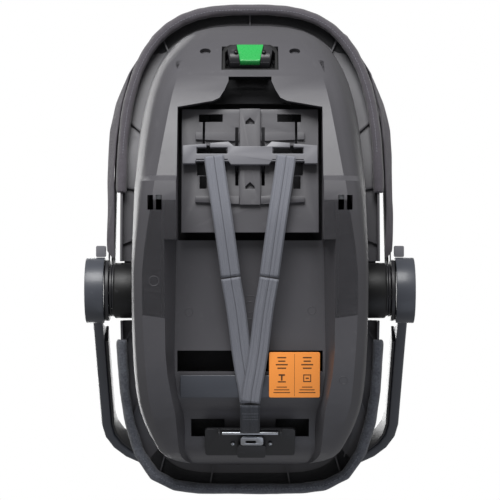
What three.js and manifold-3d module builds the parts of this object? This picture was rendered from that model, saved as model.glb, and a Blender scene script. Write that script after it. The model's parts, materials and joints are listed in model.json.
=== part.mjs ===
// Infant car seat, rear-facing carrier type. Millimetres, +Z up, standing on its rockers.
// Most pieces are drawn in the seat's own frame: x across, y along the seat from the foot end to
// the head end, z out of the bowl towards the child. The seat group tilts that frame to the floor.
import * as THREE from 'three';
import { mergeVertices } from 'three/addons/utils/BufferGeometryUtils.js';
import Module from 'manifold-3d';

const wasm = await Module();
wasm.setup();

// ---- Driving dimensions ----
const TILT = THREE.MathUtils.degToRad(15); // the rim plane against the floor
const LIFT = 154.4; // height of the seat frame's origin over the floor
const CENTRE_Y = -288.7; // puts the whole seat's box centre on the origin
const GAP = 0.4; // clearance between touching pieces
const HUB_Y = 280; // the handle axis, at rim height
const RIM = { half: 180, middle: 394, head: 274.5, foot: 393, headPower: 3, footPower: 5 };
const WALL = { half: 153, middle: 274, head: 362, foot: 229, headPower: 3.6, footPower: 3.8 };
const SKIN = 4; // shell wall
const LINER = 9; // foam between shell and cover
const HANDLE = { reach: 370, inner: 193.5, thick: 19, deep: 35, rest: 42.5, corner: 95 };
const CANOPY = { half: 186, reach: 338, middle: -70, front: -62, cloth: 1.5 };
const STRAP = { width: 24.5, thick: 1.6 };
const PLATE = { low: 346, high: 512, lowZ: -205, highZ: -180, half: 85.5, thick: 3.5 };
const PLATE_TILT = Math.atan2(PLATE.highZ - PLATE.lowZ, PLATE.high - PLATE.low);

const paint = (color, roughness, metalness = 0) =>
  new THREE.MeshStandardMaterial({ color, roughness, metalness });
const finish = {
  shell: paint(0x4b4b4e, 0.55),
  dark: paint(0x242427, 0.5),
  gloss: paint(0x101012, 0.2),
  grey: paint(0x6c6f78, 0.5),
  slate: paint(0x565a63, 0.5),
  cloth: paint(0x55515a, 0.95),
  melange: paint(0x6a6e78, 0.95),
  webbing: paint(0x666971, 0.8),
  foam: paint(0x2b2b2d, 0.9),
  green: paint(0x2db450, 0.3),
  label: paint(0xf0983c, 0.6),
  steel: paint(0xc4c8cc, 0.25, 1),
  red: paint(0xb0302a, 0.4),
};

// ---- Curves along the seat ----
// A smooth value through [place, value] pairs that never overshoots them
function through(pairs) {
  const slope = pairs.slice(1).map((p, i) => (p[1] - pairs[i][1]) / (p[0] - pairs[i][0]));
  const tangent = pairs.map((_, i) => {
    const before = slope[i - 1] ?? slope[i];
    const after = slope[i] ?? slope[i - 1];
    return before * after <= 0 ? 0 : (2 * before * after) / (before + after);
  });
  return (at) => {
    const x = THREE.MathUtils.clamp(at, pairs[0][0], pairs.at(-1)[0]);
    let i = 0;
    while (i < pairs.length - 2 && x > pairs[i + 1][0]) i += 1;
    const width = pairs[i + 1][0] - pairs[i][0];
    const t = (x - pairs[i][0]) / width;
    const rise = t * t * (3 - 2 * t);
    return (
      pairs[i][1] * (1 - rise) +
      pairs[i + 1][1] * rise +
      width * t * (1 - t) * (tangent[i] * (1 - t) - tangent[i + 1] * t)
    );
  };
}
const floorLine = (y) => -(LIFT + y * Math.sin(TILT)) / Math.cos(TILT); // the floor, in seat frame
const rimHeight = through([
  [0, 60], [55, 60], [150, 20], [280, 0], [400, 8], [520, 38], [630, 58], [669, 58],
]);
const FLAT = { from: 190, to: 395 }; // the stretch of the runners that stands on the floor
const runnerFoot = through([
  [45, 20], [50, -30], [62, -88], [76, -125], [110, -160], [149, -190], [FLAT.from, floorLine(FLAT.from)],
]);
const runnerHead = through([
  [FLAT.to, floorLine(FLAT.to)], [419, -262], [425, -240], [460, -228], [512, -205], [560, -168],
  [600, -118], [620, -75], [630, -30], [636, 15],
]);
function runnerBottom(y) {
  if (y < FLAT.from) return runnerFoot(y);
  return y > FLAT.to ? runnerHead(y) : floorLine(y);
}
const runnerOuter = through([
  [45, 108], [66, 112], [149, 136], [288, 142], [405, 127], [460, 118], [560, 98], [600, 74],
  [625, 50], [636, 30],
]);
const runnerInner = through([
  [45, 70], [55, 80], [70, 90], [127, 94], [169, 101.4], [208, 104.8], [390, 104.8], [425, 90], [512, 90],
]);
const recessDepth = through([
  [46, 2], [60, 22], [80, 38], [112, 52], [128, 50], [136, 42], [150, 38], [208, 55], [346, 72],
]);
const bowlFloor = through([
  [49, 12], [60, -50], [80, -80], [112, -100], [128, -112], [150, -135], [208, -153],
  [280, -165], [346, -173], [430, -172], [500, -170], [530, -182], [560, -162], [600, -112],
  [615, -80], [625, -40], [632, 15],
]);
const bowlPower = through([[50, 3.5], [208, 5], [346, 5], [430, 3.4], [632, 3]]);
const seatFloor = through([
  [63, -10], [75, -45], [90, -66], [112, -80], [150, -108], [208, -130], [280, -144],
  [346, -150], [430, -150], [512, -138], [560, -118], [590, -88], [606, -62], [618, -34],
]);

// ---- Outlines ----
function halfWidth(outline, y) {
  const toHead = y > outline.middle;
  const part = Math.abs(y - outline.middle) / (toHead ? outline.head : outline.foot);
  const power = toHead ? outline.headPower : outline.footPower;
  return outline.half * Math.max(0, 1 - part ** power) ** (1 / power);
}
const shrink = (outline, by) => ({
  ...outline,
  half: outline.half - by,
  head: outline.head - by,
  foot: outline.foot - by,
});
// Where a ray from the middle of the rim, at a turn round it, meets an outline
function reachPoint(outline, turn) {
  let near = 0;
  let far = 500;
  for (let i = 0; i < 30; i += 1) {
    const half = (near + far) / 2;
    const y = RIM.middle + half * Math.sin(turn);
    const inside = Math.abs(half * Math.cos(turn)) < halfWidth(outline, y);
    if (inside) near = half;
    else far = half;
  }
  return new THREE.Vector2(near * Math.cos(turn), RIM.middle + near * Math.sin(turn));
}
// A point set outwards from the rim's outline by `out`, square to it
function rimPoint(turn, out) {
  const step = 0.01;
  const at = reachPoint(RIM, turn);
  const ahead = reachPoint(RIM, turn + step).sub(reachPoint(RIM, turn - step)).normalize();
  return new THREE.Vector2(at.x + ahead.y * out, at.y - ahead.x * out);
}

// ---- Solids ----
// Rings of points joined one to the next. The ends are closed, or the last ring meets the first.
function skin(rings, joined = false) {
  const count = rings[0].length;
  const position = rings.flat().flatMap((p) => [p.x, p.y, p.z]);
  const index = [];
  const last = joined ? rings.length : rings.length - 1;
  for (let r = 0; r < last; r += 1) {
    const next = (r + 1) % rings.length;
    for (let i = 0; i < count; i += 1) {
      const j = (i + 1) % count;
      const [a, b, c, d] = [r * count + i, r * count + j, next * count + j, next * count + i];
      index.push(a, b, c, a, c, d);
    }
  }
  if (!joined) {
    for (const [ring, flip] of [[0, true], [rings.length - 1, false]]) {
      const normal = new THREE.Vector3();
      rings[ring].forEach((p, i) => {
        normal.add(new THREE.Vector3().crossVectors(p, rings[ring][(i + 1) % count]));
      });
      const across = new THREE.Vector3().crossVectors(normal, axisAwayFrom(normal)).normalize();
      const up = new THREE.Vector3().crossVectors(normal, across).normalize();
      const flat = rings[ring].map((p) => new THREE.Vector2(p.dot(across), p.dot(up)));
      const clockwise = THREE.ShapeUtils.isClockWise(flat);
      for (const [a, b, c] of THREE.ShapeUtils.triangulateShape(flat, [])) {
        const face = [a, b, c].map((k) => k + ring * count);
        const ordered = isOrdered(flat, a, b, c, clockwise);
        const facing = ordered ? face : [face[0], face[2], face[1]];
        index.push(...(flip ? [facing[0], facing[2], facing[1]] : facing));
      }
    }
  }
  const geometry = new THREE.BufferGeometry();
  geometry.setAttribute('position', new THREE.Float32BufferAttribute(position, 3));
  geometry.setIndex(index);
  return outward(geometry);
}
// The unit axis least along a direction
function axisAwayFrom(direction) {
  const size = [Math.abs(direction.x), Math.abs(direction.y), Math.abs(direction.z)];
  const least = size.indexOf(Math.min(...size));
  return new THREE.Vector3().setComponent(least, 1);
}
// Whether a cap's triangle runs the same way round as its ring
function isOrdered(flat, a, b, c, clockwise) {
  const area = (flat[b].x - flat[a].x) * (flat[c].y - flat[a].y) -
    (flat[c].x - flat[a].x) * (flat[b].y - flat[a].y);
  return clockwise ? area < 0 : area > 0;
}
// Turns every face over if a closed surface was drawn inside out
function outward(geometry) {
  const p = geometry.attributes.position;
  const index = [...geometry.index.array];
  const at = (i) => new THREE.Vector3().fromBufferAttribute(p, i);
  let volume = 0;
  for (let i = 0; i < index.length; i += 3) {
    volume += at(index[i]).dot(at(index[i + 1]).cross(at(index[i + 2])));
  }
  if (volume < 0) {
    for (let i = 0; i < index.length; i += 3) [index[i + 1], index[i + 2]] = [index[i + 2], index[i + 1]];
    geometry.setIndex(index);
  }
  return geometry;
}
function toManifold(geometry) {
  const bare = geometry.clone();
  bare.deleteAttribute('normal');
  bare.deleteAttribute('uv');
  const merged = mergeVertices(bare, 1e-4);
  return new wasm.Manifold(new wasm.Mesh({
    numProp: 3,
    vertProperties: new Float32Array(merged.attributes.position.array),
    triVerts: new Uint32Array(merged.index.array),
  }));
}
function fromManifold(solid) {
  const mesh = solid.getMesh();
  const geometry = new THREE.BufferGeometry();
  geometry.setAttribute('position', new THREE.Float32BufferAttribute(mesh.vertProperties, 3));
  geometry.setIndex([...mesh.triVerts]);
  return geometry;
}
// One solid from a body, what is joined to it, and what is cut out of it
function carve(body, { join = [], cut = [] }) {
  let solid = toManifold(body);
  for (const piece of join) solid = solid.add(toManifold(piece));
  for (const piece of cut) solid = solid.subtract(toManifold(piece));
  return fromManifold(solid);
}
function mesh(name, geometry, material, parent) {
  const piece = new THREE.Mesh(geometry, material);
  piece.name = name;
  parent.add(piece);
  return piece;
}
const point = (x, y, z) => new THREE.Vector3(x, y, z);

// A box between two corners
function block([x0, y0, z0], [x1, y1, z1]) {
  const box = new THREE.BoxGeometry(Math.abs(x1 - x0), Math.abs(y1 - y0), Math.abs(z1 - z0));
  return box.translate((x0 + x1) / 2, (y0 + y1) / 2, (z0 + z1) / 2);
}
// A flat outline given as [x, y] points, thickened from z0 to z1
function slab(points, z0, z1, holes = []) {
  const shape = new THREE.Shape(points.map(([x, y]) => new THREE.Vector2(x, y)));
  shape.holes = holes.map((hole) => new THREE.Path(hole.map(([x, y]) => new THREE.Vector2(x, y))));
  const extrude = new THREE.ExtrudeGeometry(shape, { depth: z1 - z0, bevelEnabled: false });
  return mergedSolid(extrude.translate(0, 0, z0));
}
function mergedSolid(geometry) {
  geometry.deleteAttribute('normal');
  geometry.deleteAttribute('uv');
  return outward(mergeVertices(geometry, 1e-4));
}
// Points of a rectangle with round corners, anticlockwise
function roundedOutline(x0, y0, x1, y1, radius, steps = 3) {
  const corners = [
    [x1 - radius, y1 - radius], [x0 + radius, y1 - radius],
    [x0 + radius, y0 + radius], [x1 - radius, y0 + radius],
  ];
  return corners.flatMap(([cx, cy], k) =>
    Array.from({ length: steps + 1 }, (_, i) => {
      const angle = (Math.PI / 2) * (k + i / steps);
      return [cx + radius * Math.cos(angle), cy + radius * Math.sin(angle)];
    }));
}
const roundedBlock = (x0, y0, x1, y1, z0, z1, radius) => slab(roundedOutline(x0, y0, x1, y1, radius), z0, z1);
// A cylinder along x between two places
function rod(x0, x1, radius, y, z, sides = 16) {
  const bar = new THREE.CylinderGeometry(radius, radius, Math.abs(x1 - x0), sides);
  bar.rotateZ(Math.PI / 2);
  return mergedSolid(bar.translate((x0 + x1) / 2, y, z));
}
// A flat ribbon through [x, y, z] points that lies square to the y-z plane, twisted to its run
function ribbon(points, width, thick, steps) {
  const curve = new THREE.CatmullRomCurve3(points.map((p) => point(...p)), false, 'centripetal');
  const rings = [];
  for (let i = 0; i <= steps; i += 1) {
    const at = curve.getPoint(i / steps);
    const run = curve.getTangent(i / steps);
    const across = point(1, 0, 0).addScaledVector(run, -run.x).normalize();
    const face = new THREE.Vector3().crossVectors(run, across).normalize();
    rings.push([[-1, -1], [1, -1], [1, 1], [-1, 1]].map(([a, b]) =>
      at.clone().addScaledVector(across, (a * width) / 2).addScaledVector(face, (b * thick) / 2)));
  }
  return skin(rings);
}

// ---- The shell ----
// Stations along an outline, close together at its ends, with extra ones where features begin
function stations(outline, extra = [], steps = 34, reach = 86) {
  const list = Array.from({ length: steps + 1 }, (_, i) => {
    const sweep = Math.sin(THREE.MathUtils.degToRad(-reach + (2 * reach * i) / steps));
    return outline.middle + (sweep < 0 ? outline.foot : outline.head) * sweep;
  });
  const kept = list.filter((y) => extra.every((e) => Math.abs(e - y) > 5));
  return [...kept, ...extra].sort((a, b) => a - b);
}
const mirrored = (half) => [...half, ...half.map(([x, z]) => [-x, z]).reverse()];
const section = (half, y) => mirrored(half).map(([x, z]) => point(x, y, z));

// Outer skin: side wall as one bend from the rim to the chamfer, then the flat underside
function outerSection(y) {
  const wall = halfWidth(WALL, y);
  const outer = Math.min(runnerOuter(y), wall * 0.97);
  const bottom = runnerBottom(y);
  const top = rimHeight(y) - 1;
  const chamfer = Math.min(9, outer * 0.2);
  const low = bottom + chamfer;
  const kneeZ = top + (low - top) * 0.6;
  const pull = [[wall, top], [wall, kneeZ], [outer + (wall - outer) / 2, low], [outer, low]];
  const bend = [0, 0.25, 0.5, 0.72, 0.88, 1].map((t) => {
    const weight = [(1 - t) ** 3, 3 * t * (1 - t) ** 2, 3 * t * t * (1 - t), t ** 3];
    return [0, 1].map((k) => weight.reduce((sum, w, i) => sum + w * pull[i][k], 0));
  });
  return section([...bend, [outer - chamfer, bottom]], y);
}
const OVER_RIM = 8; // a lining's curve begins this far over the rim
// The hollow of the bowl, or one of its linings when set in and raised
function hollow(outline, floor, power, { inset = 0, over = OVER_RIM, steps = 22 } = {}) {
  const shape = shrink(outline, inset);
  const rings = stations(shape, [], steps).map((y) => {
    const wide = halfWidth(shape, y);
    const top = rimHeight(y) + OVER_RIM;
    const deep = top - (floor(y) + inset);
    const bend = [0, 0.18, 0.36, 0.52, 0.68, 0.84, 1].map((t) => {
      const angle = (t * Math.PI) / 2;
      const soft = 2 / power(y);
      return [wide * Math.cos(angle) ** soft, top - deep * Math.sin(angle) ** soft];
    });
    const brim = [wide, rimHeight(y) + over];
    return section([brim, ...bend.slice(1, -1), [wide * 0.02, top - deep]], y);
  });
  return skin(rings);
}
const BOWL = shrink(WALL, SKIN);
const SEAT = { half: 135, middle: 300, head: 311, foot: 235, headPower: 3.2, footPower: 3.6 };
const seatPower = () => 3.2;

// The space under the runners, open to the bowl
function runnerHollow(side) {
  const rings = [72, 90, 112, 149, 190, 240, 290, 340, 395, 416, 428, 470, 512, 545, 575].map((y) => {
    const outer = Math.min(runnerOuter(y), halfWidth(WALL, y) * 0.97) - SKIN - 1;
    const inner = runnerInner(y) + SKIN;
    const bottom = runnerBottom(y) + SKIN;
    const top = Math.max(bowlFloor(y) + 40, bottom + 6);
    const upper = Math.min(halfWidth(WALL, y) - 10, outer + 2);
    return [[inner, bottom], [outer - 6, bottom], [outer, bottom + 8], [upper, top], [inner, top]]
      .map(([x, z]) => point(side * x, y, z));
  });
  return skin(rings);
}
// The long recess between the runners, below the bay
function recess() {
  const rings = [46, 54, 62, 72, 84, 98, 112, 124, 130, 136, 150, 178, 208, 250, 300, 347].map((y) => {
    const bottom = runnerBottom(y);
    const depth = recessDepth(y);
    const inner = runnerInner(y);
    return section([[inner, bottom - 12], [inner, bottom], [inner - 0.17 * depth, bottom + depth]], y);
  });
  return skin(rings);
}
// The bay under the harness plate: its outline, with the neck that runs up to the release handle
const bayOutline = [
  [90, 346], [90, 512], [46, 520], [38, 524], [32, 534], [27, 546], [27, 552],
  [-27, 552], [-27, 546], [-32, 534], [-38, 524], [-46, 520], [-90, 512], [-90, 346],
];
// The flange that turns out from the wall's top, its lip and the small ribs between them
const LIP = { in: 10, out: 7, drop: 22 };
const RIM_STEP = 5; // degrees between the rim's sections
function ringBand(inner, outer, z0, z1, parts = 1) {
  const rings = Array.from({ length: 360 / RIM_STEP }, (_, i) => {
    const turn = THREE.MathUtils.degToRad(i * RIM_STEP);
    const [a, b] = [inner(turn), outer(turn)];
    const line = Array.from({ length: parts + 1 }, (_, k) => a.clone().lerp(b, k / parts));
    const level = (z) => line.map((p) => point(p.x, p.y, rimHeight(p.y) + z));
    return [...level(z0), ...level(z1).reverse()];
  });
  return skin(rings, true);
}
const wallTurn = (by) => (turn) => reachPoint(shrink(WALL, by), turn);
const rimTurn = (out) => (turn) => rimPoint(turn, out);
const ribTurns = [90, 118, 62, 146, 34, 172, 8, 196, -16, 212, -32, 226, -46, 240, -60, 251, -71, 262, -82];
function rib(degrees) {
  const turn = THREE.MathUtils.degToRad(degrees);
  const ends = [reachPoint(shrink(WALL, 2), turn), rimPoint(turn, -LIP.in + 1)];
  const across = ends[1].clone().sub(ends[0]).normalize().rotateAround(new THREE.Vector2(), Math.PI / 2);
  return skin(ends.map((end) => [[-1, -8], [1, -8], [1, -1], [-1, -1]].map(([side, z]) =>
    point(end.x + across.x * side, end.y + across.y * side, rimHeight(end.y) + z))));
}
// The gap in the rim that the hub bracket stands in
const hubRoom = (side) => block([side * 153.8, HUB_Y - 40, -62], [side * 192, HUB_Y + 39, 40]);
const SOCKET = { x: 116, y: 392, half: 3.6, pitch: 5.2 };
const RELEASE = { half: 36, y: 574, z: -142 };
const RELEASE_TILT = Math.atan2(44, 46);
function shellGeometry() {
  const body = skin(stations(WALL, [190, 395, 408, 418.5, 425.5, 512]).map(outerSection));
  const flange = ringBand(wallTurn(2), rimTurn(-LIP.out), -3, 0, 3);
  const lip = ringBand(rimTurn(-LIP.in), rimTurn(-LIP.out), -LIP.drop, 0);
  const slot = block([-92, 180, -230], [92, 207, -100]);
  const pockets = [1, -1].map((side) => block([side * 33, 93, -160], [side * 76, 117, -70]));
  const sockets = [1, -1].flatMap((side) => [-SOCKET.pitch, SOCKET.pitch].map((off) => {
    const x = side * SOCKET.x + off;
    return block([x - SOCKET.half, SOCKET.y - 9, -300], [x + SOCKET.half, SOCKET.y + 9, -240]);
  }));
  const handlePocket = block([-RELEASE.half, -26, -40], [RELEASE.half, 26, 40]);
  handlePocket.rotateX(RELEASE_TILT).translate(0, RELEASE.y, RELEASE.z);
  const hubRooms = [1, -1].map((side) => hubRoom(side));
  const screwWells = [1, -1].map((side) => {
    const well = new THREE.CylinderGeometry(8, 6, 16, 12);
    return mergedSolid(well.rotateX(Math.PI / 2 + RELEASE_TILT).translate(side * 57, 588, -137));
  });
  return carve(body, {
    join: [flange, lip, ...ribTurns.map(rib)],
    cut: [
      recess(), slab(bayOutline, -300, -120), hollow(BOWL, bowlFloor, bowlPower), runnerHollow(1),
      runnerHollow(-1), slot, ...pockets, ...sockets, handlePocket, ...screwWells, ...hubRooms,
    ],
  });
}

// ---- Groups ----
const seat = new THREE.Group();
seat.rotation.x = TILT;
seat.position.set(0, CENTRE_Y, LIFT);
const plateGroup = new THREE.Group(); // x across, y up the plate, z through it towards the child
plateGroup.position.set(0, PLATE.low, PLATE.lowZ);
plateGroup.rotation.x = PLATE_TILT;
seat.add(plateGroup);

mesh('outer_shell', shellGeometry(), finish.shell, seat);

// ---- Soft lining ----
const strapWindow = block([-52, 400, -220], [52, 520, -60]);
function lining() {
  mesh('foam_liner', carve(hollow(SEAT, seatFloor, seatPower, { inset: -LINER, over: -1 }), {
    cut: [hollow(SEAT, seatFloor, seatPower), strapWindow],
  }), finish.foam, seat);
  const band = ringBand((turn) => reachPoint(shrink(SEAT, 3), turn), rimTurn(-15.4), 3.6, 6.2, 4);
  mesh('seat_cover', carve(hollow(SEAT, seatFloor, seatPower, { inset: 6 * GAP, over: 5 }), {
    join: [band],
    cut: [hollow(SEAT, seatFloor, seatPower, { inset: 3.4, over: 12 }), strapWindow, hubRoom(1), hubRoom(-1)],
  }), finish.cloth, seat);
  // The fabric edge turns over the lip: [outwards from the rim, height over it]
  const roll = [
    [-14.6, 3], [-14.6, 5], [-6, 5], [-0.8, -2], [0, -14], [-3, -26], [-9, -28.5], [-15, -25],
    [-16, -16], [-10.6, -12], [-10.6, -22.8], [-6.2, -22.8], [-6.2, 2.2],
  ];
  const edge = (from, to) => skin(Array.from({ length: (to - from) / RIM_STEP + 1 }, (_, i) => {
    const turn = THREE.MathUtils.degToRad(from + i * RIM_STEP);
    return roll.map(([out, up]) => {
      const p = rimPoint(turn, out);
      return point(p.x, p.y, rimHeight(p.y) + up);
    });
  }));
  mesh('foot_rim_roll', edge(225, 315), finish.melange, seat);
  mesh('head_rim_cover', edge(5, 175), finish.cloth, seat);
}
// Height of the cover's inner face over a place in the bowl
function coverAt(x, y) {
  const wide = halfWidth(shrink(SEAT, 3.4), y);
  const top = rimHeight(y) + 12;
  const deep = top - (seatFloor(y) + 3.4);
  return top - deep * Math.max(0, 1 - (Math.abs(x) / wide) ** 3.2) ** (1 / 3.2);
}
// A pad that lies in the bowl, thickest in the middle
function padOn(y0, y1, half, thick, lift = 2.4) {
  const rings = Array.from({ length: 11 }, (_, i) => {
    const y = y0 + ((y1 - y0) * i) / 10;
    const end = Math.sin(Math.PI * THREE.MathUtils.clamp(0.08 + 0.84 * (i / 10), 0, 1)) ** 0.3;
    const across = [-1, -0.66, -0.33, 0, 0.33, 0.66, 1].map((k) => k * half * (0.82 + 0.18 * end));
    const under = across.map((x) => point(x, y, coverAt(x, y) + lift));
    const over = across.map((x) => {
      const crown = 0.45 + 0.55 * (1 - Math.abs(x / half) ** 3);
      return point(x, y, coverAt(x, y) + lift + thick * end * crown);
    });
    return [...under, ...over.reverse()];
  });
  return skin(rings);
}
lining();
mesh('seat_inlay', padOn(120, 396, 92, 20), finish.melange, seat);

// ---- Harness plate, height rack and yoke ----
function plateCuts() {
  const pair = (x0, y0, x1, y1) => [1, -1].map((side) => block([side * x0, y0, -8], [side * x1, y1, 8]));
  return [
    ...pair(34.2, 150, 64, 160), // upper strap slots
    ...pair(56.4, 121, 59.2, 151), // thin slits
    ...pair(54, 65, 63, 81), // small square holes
    ...pair(14.4, 69, 18.4, 143), // runs for the yoke's necks
    ...pair(30, 82, 66, 120), // strap windows behind the yoke
  ];
}
function harnessPlate() {
  const length = (PLATE.high - PLATE.low) / Math.cos(PLATE_TILT);
  const half = PLATE.half;
  const top = length - 1.5;
  const sheet = slab([[-half, 10], [half, 10], [half, top], [-half, top]], 0, PLATE.thick);
  const bars = [
    slab([[-68, 127], [-68, 136], [68, 136], [68, 127], [14.5, 125], [-14.5, 125]], -4, 1),
    slab([[-68, 47.5], [-68, 55], [68, 55], [68, 47.5], [14.5, 45], [-14.5, 45]], -5, 1),
  ];
  const rackRoom = block([-13.4, 43, -9], [13.4, length + 5, 0]);
  const plate = carve(sheet, { join: bars, cut: [...plateCuts(), rackRoom] });
  mesh('harness_plate', plate, finish.shell, plateGroup);
  const rack = slab([[-13, 44], [13, 44], [13, length - 2], [-13, length - 2]], -6, -GAP);
  const notch = (y) => slab([[-5.6, y], [5.6, y], [5.6, y + 3], [0, y + 8.5], [-5.6, y + 3]], -9, 3);
  const notches = [64, 146].map(notch);
  mesh('height_rack', carve(rack, { cut: notches }), finish.shell, plateGroup);
}
harnessPlate();
const YOKE = { z0: -16.5, z1: -7.5, low: 94, high: 116 };
function strapYoke() {
  const half = [
    [20, 116], [26.7, 122], [50, 120], [50, 114], [54, 114], [54, 119], [84, 117], [84, 94], [67.7, 94],
    [67.7, 97], [26.7, 97], [24, 93],
  ];
  const outline = [...half, ...half.map(([x, y]) => [-x, y]).reverse()];
  const windows = [1, -1].flatMap((side) => [
    block([side * 28, 106.5, -30], [side * 66.5, 114.5, 30]),
    block([side * 28, 98.4, -30], [side * 66.5, 99.4, 30]),
  ]);
  const body = slab(outline, YOKE.z0, YOKE.z1);
  const necks = [1, -1].map((side) => block([side * 15, 96, YOKE.z1 - 1], [side * 17.8, 116, 60]));
  mesh('strap_yoke', carve(body, { join: necks, cut: windows }), finish.grey, plateGroup);
}
strapYoke();
function headrest() {
  const wing = (x) => 24 * Math.max(0, (Math.abs(x) - 50) / 40) ** 1.6;
  const across = [-90, -78, -64, -50, -25, 0, 25, 50, 64, 78, 90];
  const layer = (y, z0, z1, wide) => [
    ...across.map((x) => point(x * wide, y, z0 + wing(x))),
    ...[...across].reverse().map((x) => point(x * wide, y, z1 + wing(x))),
  ];
  const grow = through([[108, 0.9], [114, 0.96], [150, 0.95], [184, 0.84], [198, 0.72]]);
  const crown = through([[108, 70], [114, 85], [128, 92], [150, 94], [184, 89], [194, 81], [198, 70]]);
  const rows = [108, 114, 128, 150, 170, 184, 194, 198];
  mesh('headrest_core', skin(rows.map((y) => layer(y, 60.5, 66.5, grow(y)))), finish.dark, plateGroup);
  mesh('headrest_pad', skin(rows.map((y) => layer(y, 67.3, crown(y), grow(y)))), finish.melange, plateGroup);
}
headrest();

// ---- Rear straps ----
const STRAP_SPLIT = 300;
function rearStraps() {
  const upper = (side, lift) => [
    [45, 451, -208.6], [42.5, 432, -211], [34, 375, -214], [25, 309, -202], [24, STRAP_SPLIT + 1, -200],
  ].map(([x, y, z]) => [side * x, y, z - lift]);
  const lower = (side, lift) => [
    [24, STRAP_SPLIT - 1, -199.5], [17.5, 260, -189], [11, 208, -176], [6, 176, -169.5], [3, 160, -166],
    [0.5, 141.5, -161.5],
  ].map(([x, y, z]) => [side * x, y, z - lift]);
  mesh('rear_strap_upper_left', ribbon(upper(1, 0), STRAP.width, STRAP.thick, 8), finish.webbing, seat);
  mesh('rear_strap_upper_right', ribbon(upper(-1, 2.2), STRAP.width, STRAP.thick, 8), finish.webbing, seat);
  mesh('rear_strap_lower_left', ribbon(lower(1, 0), STRAP.width, STRAP.thick, 8), finish.webbing, seat);
  mesh('rear_strap_lower_right', ribbon(lower(-1, 2.2), STRAP.width, STRAP.thick, 8), finish.webbing, seat);
  const joined = [[0, 138, -161.5], [0, 126, -155], [0, 112, -143], [0, 101, -131]];
  mesh('joined_strap', ribbon(joined, STRAP.width + 0.5, 3.6, 6), finish.webbing, seat);
}
rearStraps();

// ---- Adjuster in the lower cavity ----
const cavity = new THREE.Group(); // y towards the head, z into the seat, along the cavity's slope
cavity.position.set(0, 97, -126);
cavity.rotation.x = THREE.MathUtils.degToRad(-42);
seat.add(cavity);
function adjuster() {
  mesh('adjuster_pin_bar', rod(-36, 36, 2.2, -0.5, 3.8), finish.steel, cavity);
  const plateOutline = roundedOutline(-17, -18, 12, -3.2, 3);
  const plateSlot = roundedOutline(-8, -14, 6, -9, 2.4).reverse();
  mesh('splitter_plate', slab(plateOutline, -1.5, 0.8, [plateSlot]), finish.steel, cavity);
  const cover = slab(roundedOutline(-20, -42, 16.4, -19.5, 3), -1, 3);
  mesh('adjuster_flap', cover, finish.dark, cavity);
  const flapScrew = (name, x) => {
    const head = new THREE.CylinderGeometry(2.6, 2.6, 3, 12);
    mesh(name, mergedSolid(head.rotateX(Math.PI / 2).translate(x, -22, 4.8)), finish.steel, cavity);
  };
  flapScrew('adjuster_screw_left', 22);
  flapScrew('adjuster_screw_right', -26);
  const base = roundedBlock(-58, -46, 58, 4, 6.8, 10, 4);
  const cheeks = [1, -1].map((side) => block([side * 38, -6, 0], [side * 41, 4, 9]));
  mesh('adjuster_housing', carve(base, { join: cheeks }), finish.dark, cavity);
}
adjuster();

// ---- Pocket cover, label and docking hooks ----
function underside() {
  const z = (y) => runnerBottom(y) + recessDepth(y);
  const lower = skin([147, 160, 176].map((y) => [
    [-88, -7], [88, -7], [88, -1.2], [-88, -1.2]].map(([x, up]) => point(x, y, z(y) + up))));
  mesh('pocket_cover', lower, finish.slate, seat);
  const label = new THREE.Group();
  label.position.set(0, 146, -166.2);
  label.rotation.x = THREE.MathUtils.degToRad(-8);
  seat.add(label);
  mesh('label_plate', roundedBlock(-88, 2, -24, 60, 0, 1.4, 2), finish.label, label);
  for (const [side, name] of [[1, 'left'], [-1, 'right']]) {
    const teeth = [-SOCKET.pitch, 0].map((off) => {
      const x = SOCKET.x + off;
      return block([side * (x - 2.6), 396, -249], [side * (x + 2.6), 403, -245]);
    });
    const bar = block([side * (SOCKET.x - 8), 402.4, -249], [side * (SOCKET.x + 3), 408, -242]);
    const hooks = carve(bar, { join: teeth });
    mesh(`docking_hook_${name}`, hooks, finish.steel, seat);
  }
}
underside();

// ---- Release handle at the head end ----
const release = new THREE.Group(); // y up the slope, z into the seat
release.position.set(0, RELEASE.y, RELEASE.z);
release.rotation.x = RELEASE_TILT;
seat.add(release);
function releaseHandle() {
  // Each outline is given by its right half, from the bottom up
  const both = (right) => [...right, ...right.map(([x, y]) => [-x, y]).reverse()];
  const frameOutline = both([[35.6, -24], [35.6, 12], [33, 20], [26, 25.6]]);
  const opening = both([[31, -20], [31.5, 10], [28, 17], [22, 20]]);
  mesh('release_bezel', slab(frameOutline, -6, 10, [opening.reverse()]), finish.gloss, release);
  const grip = slab(both([[25, -18], [28.5, 8.5], [25, 14], [19.5, 16.5]]), -14, 4);
  const nose = rod(-25, 25, 9.5, -8.5, -12, 20);
  const room = slab([[-13, -19.4], [13, -19.4], [17.5, 13], [-17.5, 13]], -30, -9);
  mesh('release_grip', carve(grip, { join: [nose], cut: [room] }), finish.dark, release);
  mesh('release_insert', slab(both([[12.6, -18], [17, 12.6]]), -17.5, -9.4), finish.green, release);
  for (const [side, name] of [[1, 'left'], [-1, 'right']]) {
    const pin = new THREE.CylinderGeometry(2.6, 2.6, 4, 12).rotateX(Math.PI / 2);
    mesh(`release_screw_${name}`, mergedSolid(pin.translate(side * 17.5, -8.5, -24)), finish.gloss, release);
  }
}
releaseHandle();

// ---- Hubs, carry handle and canopy, all about one axis ----
const hub = new THREE.Group();
hub.position.set(0, HUB_Y, 0);
seat.add(hub);
function hubSide(side, name) {
  const bracket = rod(side * 154.5, side * 180.6, 37, 0, -12, 28);
  mesh(`hub_bracket_${name}`, bracket, finish.gloss, hub);
  mesh(`hub_inner_${name}`, rod(side * 187.6, side * 192.6, 41, 0, 0, 28), finish.dark, hub);
}

const handle = new THREE.Group(); // z runs out along the arms
handle.rotation.x = THREE.MathUtils.degToRad(HANDLE.rest);
hub.add(handle);
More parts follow.
